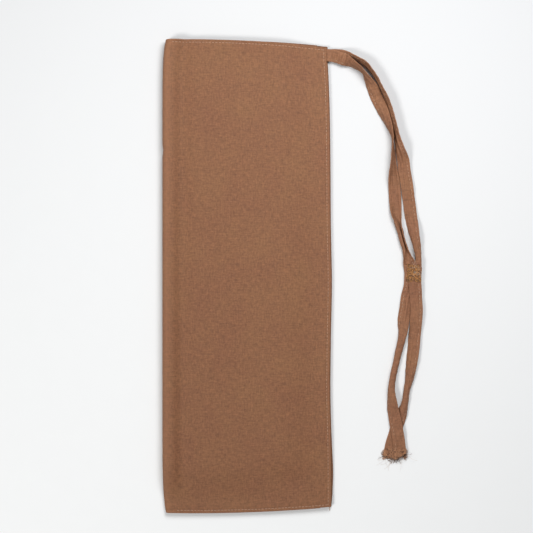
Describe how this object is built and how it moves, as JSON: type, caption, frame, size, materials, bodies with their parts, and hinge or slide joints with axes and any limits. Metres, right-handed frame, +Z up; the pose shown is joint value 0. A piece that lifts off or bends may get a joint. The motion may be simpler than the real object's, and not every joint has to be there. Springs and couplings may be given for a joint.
{
  "type": "cue case",
  "caption": "Soft brown cloth sleeve for a take-down cue: folded along one side, stitched along the other and the bottom, open at the mouth, with tie tapes in the side seam.",
  "frame": {"origin": "middle of the sleeve's underside, at the height of the surface that it lies on", "axes": "+X across the sleeve from its fold to its side seam, +Y along the sleeve towards its open mouth, +Z up from the surface"},
  "size_m": [0.2261, 0.4103, 0.0112],
  "materials": {
    "cloth": "plain woven, matt",
    "tape": "plain woven tape, matt",
    "thread": "spun sewing thread, lighter than the cloth"
  },
  "bodies": {
    "case": {"front_panel": "cloth", "back_panel": "cloth", "front_side_allowance": "cloth", "back_side_allowance": "cloth", "front_bottom_allowance": "cloth", "back_bottom_allowance": "cloth", "front_mouth_hem": "cloth", "back_mouth_hem": "cloth", "side_seam_thread_front": "thread", "side_seam_thread_back": "thread", "bottom_seam_thread_front": "thread", "bottom_seam_thread_back": "thread", "mouth_hem_thread_front": "thread", "mouth_hem_thread_back": "thread", "thread_tail": "thread", "tie_root_front": "tape", "tie_root_back": "tape"},
    "ties": {"tie_front_upper": "tape", "tie_front_lower": "tape", "tie_back_upper": "tape", "tie_back_lower": "tape", "tie_front_upper_thread": "thread", "tie_front_lower_thread": "thread", "tie_back_upper_thread": "thread", "tie_back_lower_thread": "thread", "lap_stitching": "thread"}
  },
  "joints": [
    {"name": "tie_lift", "type": "hinge", "parent": "case", "child": "ties", "pos_m": [0.0715, 0.1919, 0.004], "axis": [0, -1, 0], "range_deg": [0, 150]}
  ]
}
